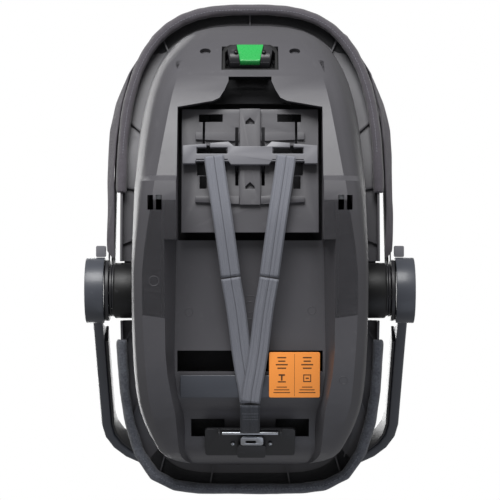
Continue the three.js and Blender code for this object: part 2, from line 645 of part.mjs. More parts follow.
// The handle's centre line in its own x-z plane: up one arm, round the corner and across
function handlePath(offset) {
  const half = HANDLE.inner + HANDLE.thick / 2 - offset;
  const top = HANDLE.reach - offset;
  const bend = HANDLE.corner - offset;
  const line = [[half, 30], [half, 90], [half, 160], [half, 220]];
  for (let i = 0; i <= 6; i += 1) {
    const angle = (Math.PI / 2) * (i / 6);
    line.push([half - bend * (1 - Math.cos(angle)), top - bend * (1 - Math.sin(angle))]);
  }
  return line;
}
function armRings(offset, thick, deepScale) {
  const half = handlePath(offset);
  const line = [...half, ...half.map(([x, z]) => [-x, z]).reverse()];
  return line.map(([x, z], i) => {
    const before = line[Math.max(i - 1, 0)];
    const after = line[Math.min(i + 1, line.length - 1)];
    const run = new THREE.Vector2(after[0] - before[0], after[1] - before[1]).normalize();
    const out = new THREE.Vector2(run.y, -run.x);
    const deep = HANDLE.deep * deepScale * (z < 60 ? 1.15 : 1);
    return roundedOutline(-thick / 2, -deep / 2, thick / 2, deep / 2, Math.min(thick, deep) * 0.32, 2)
      .map(([a, b]) => point(x + out.x * a, b, z + out.y * a));
  });
}
function carryHandle() {
  mesh('handle_arch', carve(skin(armRings(-2.5, HANDLE.thick - 5, 1)), {
    join: [1, -1].map((side) => rod(side * 194, side * 219, 44, 0, 0, 32)),
    cut: [1, -1].map((side) => rod(side * 190, side * 198, 41.5, 0, 0, 28)),
  }), finish.slate, handle);
  const inner = armRings(6.9, 4, 0.8);
  mesh('handle_lining_left', skin(inner.slice(1, 9)), finish.dark, handle);
  mesh('handle_lining_right', skin(inner.slice(-9, -1)), finish.dark, handle);
  mesh('handle_grip', skin(inner.slice(9, -9)), finish.foam, handle);
}
for (const [side, name] of [[1, 'left'], [-1, 'right']]) hubSide(side, name);
carryHandle();
for (const [side, name] of [[1, 'left'], [-1, 'right']]) {
  const tab = roundedBlock(-6.5, 0, 6.5, 15, -6, 6, 2);
  mesh(`handle_lock_${name}`, tab.translate(side * 199.5, 44.6, 0), finish.grey, hub);
}

// An arch about the hub axis: legs out to the reach, with round shoulders
function archPoints(half, reach, start = 0, corner = 120) {
  const line = [[half, start], [half, 60], [half, 130], [half, reach - corner]];
  for (let i = 1; i <= 6; i += 1) {
    const angle = (Math.PI / 2) * (i / 6);
    line.push([half - corner * (1 - Math.cos(angle)), reach - corner * (1 - Math.sin(angle))]);
  }
  return [...line, ...line.map(([x, z]) => [-x, z]).reverse()];
}
const turned = ([x, r], degrees, y = 0) => {
  const angle = THREE.MathUtils.degToRad(degrees);
  return point(x, -Math.sin(angle) * r + Math.cos(angle) * y, Math.cos(angle) * r + Math.sin(angle) * y);
};
function hoop(name, half, reach, degrees) {
  const outer = archPoints(half, reach);
  const inner = archPoints(half - 2.6, reach - 2.6);
  const rings = outer.map((p, i) => [
    turned(p, degrees, -5), turned(p, degrees, 5),
    turned(inner[i], degrees, 5), turned(inner[i], degrees, -5),
  ]);
  const discs = [1, -1].map((side) => rod(side * (half - 2.6), side * half, 35, 0, 0, 28));
  mesh(name, carve(skin(rings), { join: discs }), finish.dark, hub);
}
function canopy() {
  hoop('canopy_hoop_middle', CANOPY.half - 2.4, CANOPY.reach, CANOPY.middle);
  hoop('canopy_hoop_front', CANOPY.half + 0.8, CANOPY.reach + 4, CANOPY.front);
  const panel = (name, from, to, half, reach) => {
    const rows = [0, 0.5, 1].map((t) => from + (to - from) * t);
    const outer = archPoints(half, reach, 46);
    const inner = archPoints(half - CANOPY.cloth, reach - CANOPY.cloth, 46);
    const rings = outer.map((p, i) => [
      ...rows.map((angle) => turned(p, angle)),
      ...[...rows].reverse().map((angle) => turned(inner[i], angle)),
    ]);
    mesh(name, skin(rings), finish.cloth, hub);
  };
  panel('canopy_cloth_front', CANOPY.middle + 0.2, CANOPY.front + 1.2, CANOPY.half + 3.4, CANOPY.reach + 6.4);
  // The rear cloth runs from the middle hoop down to the rim, bellied out at the sides
  const top = archPoints(CANOPY.half + 3.2, CANOPY.reach + 6, 70);
  const rear = (inwards) => top.map((p, i) => {
    const part = i / (top.length - 1);
    const head = turned([p[0] - Math.sign(p[0]) * inwards, p[1] - inwards], CANOPY.middle - 0.4);
    const turn = THREE.MathUtils.degToRad(-22 + 224 * part);
    const rim = rimPoint(turn, 1.5 - inwards);
    const low = point(rim.x, rim.y - HUB_Y, rimHeight(rim.y) + 5);
    const belly = head.clone().lerp(low, 0.55);
    belly.x = Math.sign(belly.x) * Math.min(191 - inwards, Math.abs(belly.x) * 1.04);
    return [head, belly, low];
  });
  const [outside, inside] = [rear(0), rear(CANOPY.cloth)];
  const rings = outside.map((row, i) => [...row, ...[...inside[i]].reverse()]);
  mesh('canopy_cloth_rear', skin(rings), finish.cloth, hub);
}
canopy();

// ---- Harness inside the bowl ----
function harness() {
  const over = (x, y, up) => coverAt(x, y) + 21.2 + up;
  for (const [side, name] of [[1, 'left'], [-1, 'right']]) {
    const path = [
      [side * 34, 437, -131], [side * 36, 425, -118], [side * 34, 400, -104], [side * 28, 350, -92],
      [side * 19, 305, -86],
    ];
    mesh(`shoulder_strap_${name}`, ribbon(path, 22, STRAP.thick, 10), finish.webbing, seat);
    const padPath = [[side * 35, 416, -104.5], [side * 33, 390, -93], [side * 30, 360, -86]];
    mesh(`shoulder_pad_${name}`, ribbon(padPath, 46, 6, 6), finish.melange, seat);
    const tongue = roundedBlock(side * 15 - 9, 284, side * 15 + 9, 303, -88.5, -85.5, 3);
    mesh(`tongue_${name}`, tongue, finish.steel, seat);
  }
  const crotch = [[0, 205, over(0, 205, 2)], [0, 216, -100], [0, 232, -92], [0, 243, -89]];
  mesh('crotch_strap', ribbon(crotch, 30, 2, 6), finish.webbing, seat);
  mesh('buckle', carve(roundedBlock(-23, 245, 23, 282.5, -97, -80, 7), {
    cut: [block([-11.6, 251.4, -85.2], [11.6, 274.6, -79])],
  }), finish.dark, seat);
  mesh('buckle_button', roundedBlock(-11, 252, 11, 274, -81.5, -77, 4), finish.red, seat);
  const press = roundedBlock(-14, 150, 14, 172, over(0, 161, 5.6), over(0, 161, 10.6), 4);
  mesh('adjuster_button', press, finish.dark, seat);
}
harness();

const group = new THREE.Group();
group.add(seat);

export default group;
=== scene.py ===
import json
import math
import bmesh
import bpy
import numpy as np
from mathutils import Matrix, Vector, noise
from mathutils.bvhtree import BVHTree

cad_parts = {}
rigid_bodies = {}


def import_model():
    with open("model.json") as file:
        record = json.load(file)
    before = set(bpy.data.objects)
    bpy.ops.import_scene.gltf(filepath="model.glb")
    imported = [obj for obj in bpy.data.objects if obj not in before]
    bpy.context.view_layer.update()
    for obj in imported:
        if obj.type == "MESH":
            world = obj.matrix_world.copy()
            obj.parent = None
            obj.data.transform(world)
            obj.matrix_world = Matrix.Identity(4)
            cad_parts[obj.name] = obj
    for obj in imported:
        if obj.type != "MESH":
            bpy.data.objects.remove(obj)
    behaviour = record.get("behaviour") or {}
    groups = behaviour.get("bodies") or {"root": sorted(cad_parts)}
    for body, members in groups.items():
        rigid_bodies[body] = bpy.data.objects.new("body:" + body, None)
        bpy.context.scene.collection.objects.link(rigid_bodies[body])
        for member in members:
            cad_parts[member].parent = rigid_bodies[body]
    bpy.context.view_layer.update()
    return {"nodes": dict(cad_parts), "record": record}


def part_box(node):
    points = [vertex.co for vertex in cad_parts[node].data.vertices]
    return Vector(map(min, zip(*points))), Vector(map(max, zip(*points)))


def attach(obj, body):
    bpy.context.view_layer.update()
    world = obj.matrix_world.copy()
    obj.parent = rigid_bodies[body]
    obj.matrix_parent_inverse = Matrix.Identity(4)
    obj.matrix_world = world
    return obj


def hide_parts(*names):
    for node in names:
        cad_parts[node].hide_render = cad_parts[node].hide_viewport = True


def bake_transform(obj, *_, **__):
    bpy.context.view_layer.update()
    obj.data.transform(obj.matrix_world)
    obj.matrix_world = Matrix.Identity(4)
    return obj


for stray in list(bpy.data.objects):
    bpy.data.objects.remove(stray)
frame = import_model()
nodes = frame["nodes"]
slotOf = {part["node"]: part["material_slot"] for part in frame["record"]["subparts"]}
print("frame loaded,", len(nodes), "nodes")

# Where things are
# The seat is drawn tilted, in millimetres: x across, y from foot to head, z towards the child
seatFrame = {"tilt": math.radians(15), "lift": 154.4, "centreY": -288.7, "hubY": 280}
plateFrame = {"low": 346, "lowZ": -205, "tilt": math.atan2(25, 166)}
labelFrame = {"y": 146, "z": -166.2, "tilt": math.radians(-8)}


def turnX(y, z, angle):
    return y * math.cos(angle) - z * math.sin(angle), y * math.sin(angle) + z * math.cos(angle)


def seat(x, y, z):
    across, up = turnX(y, z, seatFrame["tilt"])
    return Vector((x, across + seatFrame["centreY"], up + seatFrame["lift"])) / 1000


def seatWay(x, y, z):  # a direction, not a place
    return Vector((x, *turnX(y, z, seatFrame["tilt"])))


def inside(place, x, y, z):  # a place in one of the smaller frames
    along, up = turnX(y, z, place["tilt"])
    return seat(x, along + place["y"], up + place["z"])


def linear(code):  # a colour written as a screen shows it
    parts = [int(code[i:i + 2], 16) / 255 for i in (0, 2, 4)]
    return tuple(p / 12.92 if p <= 0.04045 else ((p + 0.055) / 1.055) ** 2.4 for p in parts) + (1,)


# Materials
def plug(tree, target, value):
    if isinstance(value, Wire):
        tree.links.new(value.socket, target)
    else:
        target.default_value = value


class Wire:  # a socket that can be added, multiplied and so on
    def __init__(self, socket):
        self.socket = socket

    def combine(self, operation, other, flipped=False):
        tree = self.socket.id_data
        maths = tree.nodes.new("ShaderNodeMath")
        maths.operation = operation
        for place, part in enumerate((other, self) if flipped else (self, other)):
            plug(tree, maths.inputs[place], part)
        return Wire(maths.outputs[0])

    def __add__(self, other):
        return self.combine("ADD", other)

    def __sub__(self, other):
        return self.combine("SUBTRACT", other)

    def __rsub__(self, other):
        return self.combine("SUBTRACT", other, True)

    def __mul__(self, other):
        return self.combine("MULTIPLY", other)

    def __gt__(self, other):
        return self.combine("GREATER_THAN", other)

    __radd__, __rmul__ = __add__, __mul__


class Finish:
    def __init__(self, name):
        self.material = bpy.data.materials.new(name)
        self.material.use_nodes = True
        self.tree = self.material.node_tree
        self.tree.nodes.clear()
        self.shader = self.tree.nodes.new("ShaderNodeBsdfPrincipled")
        end = self.tree.nodes.new("ShaderNodeOutputMaterial")
        self.tree.links.new(self.shader.outputs[0], end.inputs[0])

    def node(self, kind, settings=None, sockets=None, output=0):
        made = self.tree.nodes.new(kind)
        for key, value in (settings or {}).items():
            setattr(made, key, value)
        for key, value in (sockets or {}).items():
            plug(self.tree, made.inputs[key], value)
        return Wire(made.outputs[output])

    def mix(self, factor, one, other):
        return self.node("ShaderNodeMix", {"data_type": "RGBA"}, {0: factor, 6: one, 7: other}, 2)

    def place(self, kind="Object"):
        return self.node("ShaderNodeTexCoord", output=kind)

    def noise(self, at, scale, detail=3):
        return self.node("ShaderNodeTexNoise", sockets={"Vector": at, "Scale": scale, "Detail": detail})

    def wave(self, value):
        return self.node("ShaderNodeMath", {"operation": "SINE"}, {0: value})

    def bump(self, height, depth, strength=1.0):
        return self.node("ShaderNodeBump", sockets={"Height": height, "Distance": depth, "Strength": strength})

    def set(self, **values):
        for key, value in values.items():
            plug(self.tree, self.shader.inputs[key.replace("_", " ")], value)
        return self.material


# colour, a second tone, roughness, grains per metre, grain depth in metres, and coat
plastics = {
    "shell": ("565559", "4c4b4f", 0.44, 1500, 0.00010, 0.0),
    "dark": ("29292c", "222225", 0.42, 1600, 0.00008, 0.0),
    "gloss": ("030304", "060607", 0.50, 900, 0.00002, 0.0),
    "grey": ("77777c", "6a6a70", 0.40, 1500, 0.00007, 0.0),
    "slate": ("4c4f57", "42454c", 0.38, 1500, 0.00007, 0.1),
    "green": ("2fb255", "249a48", 0.28, 500, 0.00002, 0.4),
    "red": ("b6352b", "9e2a22", 0.28, 500, 0.00002, 0.4),
}


def plastic(name, tone, second, rough, grains, depth, coat):
    finish = Finish(name)
    at = finish.place()
    grain = finish.noise(at, grains, 2)
    cloud = finish.noise(at, 11, 4)
    scuff = finish.noise(at, 90, 5) > 0.66
    colour = finish.mix(cloud, linear(tone), linear(second))
    return finish.set(
        Base_Color=finish.mix(scuff * 0.03, colour, linear("9a9a9e")),
        Roughness=rough + (grain - 0.5) * 0.18 + scuff * 0.08,
        Normal=finish.bump(grain, depth), Coat_Weight=coat, Coat_Roughness=0.12)


# two yarn colours, how strongly they mix, threads per metre, and thread depth in metres
cloths = {
    "cloth": ("5a565d", "474349", 0.9, 1400, 0.00022),
    "melange": ("70737c", "3c3f47", 1.6, 1100, 0.00030),
    "foam": ("1d1d20", "28282c", 1.0, 900, 0.00040),
}


def cloth(name, tone, second, contrast, threads, depth):
    finish = Finish(name)
    at = finish.place()
    x, y, z = (finish.node("ShaderNodeSeparateXYZ", sockets={0: at}, output=i) for i in range(3))
    turn = threads * 2 * math.pi
    weave = finish.wave(x * turn + z * (turn / 2)) * finish.wave(y * turn + z * (turn / 2))
    yarn = finish.noise(at, threads / 3, 5)
    slub = finish.noise(at, threads / 16, 3)
    mixed = (yarn - 0.5) * contrast + (slub - 0.5) * (contrast / 2) + 0.5
    return finish.set(
        Base_Color=finish.mix(mixed, linear(tone), linear(second)),
        Roughness=0.86 + (yarn - 0.5) * 0.12,
        Normal=finish.bump(weave * 0.5 + yarn, depth, 0.8),
        Sheen_Weight=0.25, Sheen_Roughness=0.5)


def webbingFinish(name, tone, second):  # u and v are millimetres across and along the strap
    finish = Finish(name)
    uv = finish.node("ShaderNodeUVMap", {"uv_map": "strap"})
    u, v = (finish.node("ShaderNodeSeparateXYZ", sockets={0: uv}, output=i) for i in (0, 1))
    fold = finish.node("ShaderNodeMath", {"operation": "PINGPONG"}, {0: u, 1: 3.1})
    rib = finish.wave((v + fold) * (2 * math.pi / 1.5))
    edge = finish.node("ShaderNodeMath", {"operation": "ABSOLUTE"}, {0: u}) > 10.4
    line = finish.wave(u * (2 * math.pi / 3.1))
    fibre = finish.noise(finish.place(), 1800, 3)
    # The centre fold line is painted darker, as painted shade in its crease, and is also carved in as a bump
    fold_crease_and_shade = (finish.node("ShaderNodeMath", {"operation": "ABSOLUTE"}, {0: u}) > 0.55) * -1 + 1
    shade = rib * 0.3 + (fibre - 0.5) * 0.8 + 0.35 + edge * 0.3 + fold_crease_and_shade * 0.8
    return finish.set(
        Base_Color=finish.mix(shade, linear(tone), linear(second)),
        Roughness=0.62 + (fibre - 0.5) * 0.2,
        Normal=finish.bump(rib * 0.6 + line * 0.4 + fibre * 0.4 + fold_crease_and_shade * -1.5, 0.00028, 0.9),
        Sheen_Weight=0.2, Sheen_Roughness=0.4)


def metal(name):
    finish = Finish(name)
    at = finish.place()
    x, y, z = (finish.node("ShaderNodeSeparateXYZ", sockets={0: at}, output=i) for i in range(3))
    drawn = finish.node("ShaderNodeCombineXYZ", sockets={0: x * 60, 1: y * 2400, 2: z * 2400})
    streak = finish.noise(drawn, 1, 4)
    return finish.set(
        Base_Color=finish.mix(streak, linear("c9ccd1"), linear("9a9da3")), Metallic=1.0,
        Roughness=0.24 + streak * 0.2, Normal=finish.bump(streak, 0.00002))


def paper(name, tone, second):
    finish = Finish(name)
    fibre = finish.noise(finish.place(), 700, 5)
    return finish.set(
        Base_Color=finish.mix(fibre, linear(tone), linear(second)),
        Roughness=0.5 + (fibre - 0.5) * 0.2, Normal=finish.bump(fibre, 0.00003))


finishes = {name: plastic(name, *look) for name, look in plastics.items()}
finishes.update({name: cloth(name, *look) for name, look in cloths.items()})
finishes["webbing"] = webbingFinish("webbing", "8a8c95", "5a5c64")
# A darker copy of the same webbing, for the joined strap: painted shade
finishes["webbingDark"] = webbingFinish("webbingDark", "40434b", "2c2f36")
finishes["steel"] = metal("steel")
finishes["label"] = paper("label", "ff9e48", "fa983f")
finishes["ink"] = paper("ink", "5b3a1c", "4b3018")
finishes["thread"] = paper("thread", "8d9098", "74767e")
print("finishes made:", len(finishes))


# Mesh helpers
def addPiece(name, points, faces, finish, body, smooth=True):
    data = bpy.data.meshes.new(name)
    data.from_pydata([tuple(p) for p in points], [], faces)
    data.validate()
    piece = bpy.data.objects.new(name, data)
    bpy.context.scene.collection.objects.link(piece)
    return dress(piece, finish, body, smooth)


def dress(piece, finish, body, smooth=True):
    piece.data.materials.clear()
    piece.data.materials.append(finishes[finish])
    piece.data.polygons.foreach_set("use_smooth", [smooth] * len(piece.data.polygons))
    if body:
        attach(piece, body)
    return piece


def bake(piece):  # leaves the modifiers' result as the mesh
    graph = bpy.context.evaluated_depsgraph_get()
    done = bpy.data.meshes.new_from_object(piece.evaluated_get(graph))
    piece.modifiers.clear()
    piece.data = done
    return piece


def modifier(piece, kind, **settings):
    made = piece.modifiers.new(kind.lower(), kind)
    for key, value in settings.items():
        setattr(made, key, value)
    return made


def copyOf(node, name):  # a soft piece starts from the space that its solid holds
    data = nodes[node].data.copy()
    piece = bpy.data.objects.new(name, data)
    bpy.context.scene.collection.objects.link(piece)
    shape = bmesh.new()
    shape.from_mesh(data)
    bmesh.ops.remove_doubles(shape, verts=shape.verts, dist=0.00002)
    bmesh.ops.recalc_face_normals(shape, faces=shape.faces)
    shape.to_mesh(data)
    shape.free()
    if "custom_normal" in data.attributes:
        data.attributes.remove(data.attributes["custom_normal"])
    return piece


def moveVerts(piece, push):  # push gives how far a vertex goes along its normal, in metres
    data = piece.data
    shifts = [v.normal * push(v.co, v.normal) for v in data.vertices]
    for vert, shift in zip(data.vertices, shifts):
        vert.co += shift
    data.update()


def remesh(piece, voxel, smoothing=6):
    modifier(piece, "REMESH", mode="VOXEL", voxel_size=voxel)
    modifier(piece, "SMOOTH", factor=0.5, iterations=smoothing)
    return bake(piece)


def toSeat(place):  # the seat's own millimetres, from a place in metres
    y, z = place.y * 1000 - seatFrame["centreY"], place.z * 1000 - seatFrame["lift"]
    along, up = turnX(y, z, -seatFrame["tilt"])
    return place.x * 1000, along, up


# Hard parts: better edges and finishes on the CAD nodes
bevels = {
    "strap_yoke": 1.1, "harness_plate": 0.7, "height_rack": 0.6, "release_bezel": 0.9, "release_grip": 1.8,
    "release_insert": 1.0, "pocket_cover": 0.7, "label_plate": 0.3, "adjuster_housing": 0.8,
    "adjuster_flap": 0.5, "splitter_plate": 0.4, "hub_bracket_left": 2.2, "hub_bracket_right": 2.2,
    "hub_inner_left": 0.8, "hub_inner_right": 0.8, "handle_arch": 2.4, "handle_lock_left": 1.2,
    "handle_lock_right": 1.2, "buckle": 1.6, "buckle_button": 1.0, "adjuster_button": 1.2,
    "tongue_left": 0.5, "tongue_right": 0.5, "docking_hook_left": 0.4, "docking_hook_right": 0.4,
    "canopy_hoop_middle": 0.5, "canopy_hoop_front": 0.5, "handle_lining_left": 0.6,
    "handle_lining_right": 0.6, "handle_grip": 0.8, "adjuster_pin_bar": 0.3,
}
for name, node in nodes.items():
    node.data.materials.clear()
    node.data.materials.append(finishes[slotOf[name]])
    modifier(node, "WELD", merge_threshold=0.00002)
    if name in bevels:
        modifier(node, "BEVEL", width=bevels[name] / 1000, segments=3, limit_method="ANGLE",
                 angle_limit=math.radians(38), use_clamp_overlap=True, harden_normals=False)
    modifier(node, "EDGE_SPLIT", split_angle=math.radians(34))
    if "custom_normal" in node.data.attributes:
        node.data.attributes.remove(node.data.attributes["custom_normal"])
    node.data.polygons.foreach_set("use_smooth", [True] * len(node.data.polygons))
print("hard parts dressed")


# Sewn covers and padding
def puff(piece, pressure, cap, frames=20):  # blows a pad up a little, as its filling does
    start = np.array([v.co for v in piece.data.vertices])
    made = modifier(piece, "CLOTH")
    made.settings.use_pressure = True
    made.settings.uniform_pressure_force = pressure
    made.settings.tension_stiffness = made.settings.compression_stiffness = 25
    made.settings.effector_weights.gravity = 0
    for count in range(1, frames + 1):
        bpy.context.scene.frame_set(count)
    bake(piece)
    end = np.array([v.co for v in piece.data.vertices])
    shift = end - start
    size = np.linalg.norm(shift, axis=1, keepdims=True)
    end = start + shift * np.minimum(1, cap / np.maximum(size, 1e-9))
    piece.data.vertices.foreach_set("co", end.astype(np.float32).ravel())
    piece.data.update()
    bpy.context.scene.frame_set(1)


def groove(distance, width, depth):  # a sewn line, deep in its middle
    return -depth * math.exp(-(distance / width) ** 2)


def inlaySeams(co, normal):
    x, y, z = toSeat(co)
    across = min(abs(abs(x) - 52), abs(x) if y > 300 else 99)
    along = min(abs(y - line) for line in (190, 262, 330))
    wrinkle = noise.noise(co * 34) * 0.0005
    return groove(across, 3.2, 0.0021) + groove(along, 3.0, 0.0017) + wrinkle


def headrestSeams(co, normal):
    x, y, z = toSeat(co)
    return groove(abs(abs(x) - 46), 3.0, 0.0021) + noise.noise(co * 40) * 0.0005


def coverSeams(co, normal):
    x, y, z = toSeat(co)
    slant = abs(math.sin((y + x) * math.pi / 52)) * 26 / math.pi
    other = abs(math.sin((y - x) * math.pi / 52)) * 26 / math.pi
    return groove(min(slant, other), 1.6, 0.0006)


def creases(co, normal):
    long = noise.noise(Vector((co.x * 16, co.y * 16, co.z * 46)))
    return long * 0.0010 + noise.noise(co * 85) * 0.0003


softPieces = {
    "seat_inlay": dict(voxel=0.005, body="shell", puff=(4, 0.004), seams=inlaySeams, fill=0.6),
    "headrest_pad": dict(voxel=0.005, body="headrest", puff=(4, 0.003), seams=headrestSeams, fill=0.7),
    "foot_rim_roll": dict(voxel=0.003, body="shell", seams=creases, fill=0.5),
    "head_rim_cover": dict(voxel=0.003, body="shell", seams=creases, fill=0.4),
}
soft = {}
for node, look in softPieces.items():
    piece = copyOf(node, node + "_sewn")
    remesh(piece, look["voxel"])
    if "puff" in look:
        puff(piece, *look["puff"])
    modifier(piece, "SUBSURF", levels=1, render_levels=1)
    bake(piece)
    moveVerts(piece, look["seams"])
    dress(piece, slotOf[node], look["body"])
    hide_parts(node)
    soft[node] = piece
    print("sewn:", node, len(piece.data.vertices))

cover = copyOf("seat_cover", "seat_cover_sewn")
modifier(cover, "SUBSURF", subdivision_type="SIMPLE", levels=2, render_levels=2)
bake(cover)
moveVerts(cover, coverSeams)
dress(cover, "cloth", "shell")
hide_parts("seat_cover")


# A near-black sheet closes the window behind the harness plate: painted shade in the opening
windowShadeSheet = {"half": 54, "low": 40, "high": 176, "height": 47, "thick": 1.6, "columns": 18, "rows": 24}


def closeWindowWithShade():
    look = windowShadeSheet
    points, faces = [], []
    for face in (0, 1):
        for r in range(look["rows"] + 1):
            for c in range(look["columns"] + 1):
                x = look["half"] * (2 * c / look["columns"] - 1)
                y = look["low"] + (look["high"] - look["low"]) * r / look["rows"]
                sag = 1.4 * noise.noise(Vector((x / 18, y / 18, 3)))
                along, up = turnX(y, look["height"] + sag + face * look["thick"], plateFrame["tilt"])
                points.append(seat(x, along + plateFrame["low"], up + plateFrame["lowZ"]))
    wide, count = look["columns"] + 1, (look["columns"] + 1) * (look["rows"] + 1)
    for r in range(look["rows"]):
        for c in range(look["columns"]):
            quad = [r * wide + c, r * wide + c + 1, (r + 1) * wide + c + 1, (r + 1) * wide + c]
            faces += [tuple(quad[::-1]), tuple(k + count for k in quad)]
    border = [c for c in range(wide)] + [r * wide + wide - 1 for r in range(1, look["rows"] + 1)]
    border += [look["rows"] * wide + c for c in range(wide - 2, -1, -1)]
    border += [r * wide for r in range(look["rows"] - 1, 0, -1)]
    for one, other in zip(border, border[1:] + border[:1]):
        faces.append((one, other, other + count, one + count))
    cloth = addPiece("cover_window_cloth", points, faces, "foam", "shell")


closeWindowWithShade()


# Canopy cloth: stretched between the hoops, bellied out at the sides
hubPoint = seat(0, seatFrame["hubY"], 0)
# Each panel is measured square to a plane through the hub: where it starts and how deep it is, in millimetres.
# belly is how far its middle stands proud, in metres. reach is where it begins and ends following the hoop.
# cut is its depth at the crown, its length along the hoop and its flat area, in metres.
canopyPanels = {
    "canopy_cloth_rear": dict(plane=-70, bodies=("shell", "canopy_middle"), reach=(-26, -3), lowest=-74, depth=74,
                              belly=0.003, cut=(0.084, 0.862, 0.0448)),
    "canopy_cloth_front": dict(plane=-65, bodies=("canopy_middle", "canopy_front"), reach=(-13, 13),
                               lowest=-26, depth=52, belly=0.001, cut=(0.054, 0.873, 0.0329)),
}


def canopyPanel(node, plane, bodies, reach, lowest, depth, belly, cut):
    piece = copyOf(node, node + "_sewn")
    modifier(piece, "SUBSURF", subdivision_type="SIMPLE", levels=3, render_levels=3)
    modifier(piece, "SMOOTH", factor=0.5, iterations=2)
    bake(piece)
    angle = math.radians(plane)
    away = seatWay(0, -math.cos(angle), -math.sin(angle))  # square to the hoop, the way the canopy opens
    for vert in piece.data.vertices:  # both faces move one way, so the cloth keeps its thickness
        spot = vert.co - hubPoint
        lie = spot.dot(away) * 1000
        part = min(max((lie - lowest) / depth, 0), 1)
        side = Vector((math.copysign(1, spot.x), 0, 0)) * min(1, abs(spot.x) / 0.16) ** 3
        swell = math.sin(part * math.pi) ** 0.7 if 0 < part < 1 else 0
        near = min(1, spot.length / 0.09)
        crease = noise.noise(Vector((spot.x * 9, spot.y * 26, spot.z * 26))) * 0.0009
        vert.co += side * (swell * belly * near + crease)
    piece.data.update()
    dress(piece, "cloth", None)
    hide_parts(node)
    low, high = (hubPoint + away * step / 1000 for step in reach)
    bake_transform(piece)
    return piece


for node, look in canopyPanels.items():
    soft[node] = canopyPanel(node, **look)
print("canopy made")


# Straps
def curve(points, step):  # a centripetal curve through the points, at even steps
    ends = [points[0] * 2 - points[1], *points, points[-1] * 2 - points[-2]]
    line = []
    for i in range(1, len(ends) - 2):
        p, q, r, s = ends[i - 1:i + 3]
        knots = [0]
        for one, other in ((p, q), (q, r), (r, s)):
            knots.append(knots[-1] + math.sqrt(max((other - one).length, 1e-9)))
        count = max(2, int((r - q).length / step))
        for k in range(count):
            line.append(hermite(p, q, r, s, knots, knots[1] + (knots[2] - knots[1]) * k / count))
    return line + [points[-1]]


def hermite(p, q, r, s, knots, t):
    gap = knots[2] - knots[1]
    enter = (q - p) / (knots[1] - knots[0]) - (r - p) / (knots[2] - knots[0]) + (r - q) / gap
    leave = (r - q) / gap - (s - q) / (knots[3] - knots[1]) + (s - r) / (knots[3] - knots[2])
    k = (t - knots[1]) / gap
    return (q * (2 * k ** 3 - 3 * k ** 2 + 1) + enter * gap * (k ** 3 - 2 * k ** 2 + k)
            + r * (3 * k ** 2 - 2 * k ** 3) + leave * gap * (k ** 3 - k ** 2))


def strap(name, route, width, thick, node, finish="webbing"):
    line = curve([seat(*p) for p in route], 0.003)
    columns, points, faces, marks = 9, [], [], []
    run = 0.0
    for i, at in enumerate(line):
        way = (line[min(i + 1, len(line) - 1)] - line[max(i - 1, 0)]).normalized()
        across = (Vector((1, 0, 0)) - way * way.x).normalized()
        face = way.cross(across).normalized()
        run += (at - line[i - 1]).length * 1000 if i else 0
        row = [(c / (columns - 1) - 0.5) for c in range(columns)]
        for side in (1, -1):
            for c in (row if side > 0 else row[::-1]):
                edge = 1 - 0.55 * abs(2 * c) ** 6
                points.append(at + (across * c * width + face * side * thick / 2 * edge) / 1000)
                marks.append((c * width, run))
    ring = columns * 2
    for i in range(len(line) - 1):
        for k in range(ring):
            j = (k + 1) % ring
            faces.append((i * ring + k, i * ring + j, (i + 1) * ring + j, (i + 1) * ring + k))
    last = (len(line) - 1) * ring
    faces += [tuple(range(ring))[::-1], tuple(last + k for k in range(ring))]
    piece = addPiece(name, points, faces, finish, None)
    layer = piece.data.uv_layers.new(name="strap")
    for loop in piece.data.loops:
        layer.data[loop.index].uv = marks[loop.vertex_index]
    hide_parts(node)
    return piece


webbingSize = {"width": 24.5, "thick": 1.6, "split": 300}
for side, name, under in ((1, "left", 0), (-1, "right", 2.2)):
    upper = [(45, 451, -208.6), (42.5, 432, -211), (34, 375, -214), (25, 309, -202),
             (24, webbingSize["split"] + 1, -200)]
    lower = [(24, webbingSize["split"] - 1, -199.5), (17.5, 260, -189), (11, 208, -176), (6, 176, -169.5),
             (3, 160, -166), (0.5, 141.5, -161.5)]
    shoulder = [(34, 437, -131), (36, 425, -118), (34, 400, -104), (28, 350, -92), (19, 305, -86)]
    routes = {"rear_strap_upper_": (upper, under), "rear_strap_lower_": (lower, under),
              "shoulder_strap_": (shoulder, 0)}
    made = {}
    for start, (route, down) in routes.items():
        wide = 22 if start.startswith("shoulder") else webbingSize["width"]
        made[start] = strap(start + name + "_woven", [(side * x, y, z - down) for x, y, z in route],
                            wide, webbingSize["thick"], start + name)
    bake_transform(made["rear_strap_upper_"], "shell", "headrest", start=seat(0, 345, -208), end=seat(0, 425, -208))
    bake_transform(made["rear_strap_lower_"], "shell", "splitter", start=seat(0, 235, -182), end=seat(0, 150, -163))
    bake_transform(made["shoulder_strap_"], "shell", "headrest", start=seat(0, 320, -90), end=seat(0, 405, -104))
# The joined strap wears the darker webbing copy: painted shade
joined = strap("joined_strap_woven", [(0, 138, -161.5), (0, 126, -155), (0, 112, -143), (0, 101, -131)],
               25, 3.6, "joined_strap", "webbingDark")
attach(joined, "splitter")
for side in ("left", "right"):
    pad = copyOf("shoulder_pad_" + side, "shoulder_pad_" + side + "_sewn")
    remesh(pad, 0.0025, 4)
    modifier(pad, "SUBSURF", levels=1, render_levels=1)
    bake(pad)
    moveVerts(pad, creases)
    dress(pad, "melange", None)
    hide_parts("shoulder_pad_" + side)
    seat(0, 320, -90)
    seat(0, 405, -104)
    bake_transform(pad)
crotchFoot = min(toSeat(v.co)[2] for v in nodes["crotch_strap"].data.vertices)
crotchRoute = [(0, 205, crotchFoot + 1), (0, 216, -100), (0, 232, -92), (0, 243, -89)]
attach(strap("crotch_strap_woven", crotchRoute, 30, 2, "crotch_strap"), "shell")
print("straps woven")


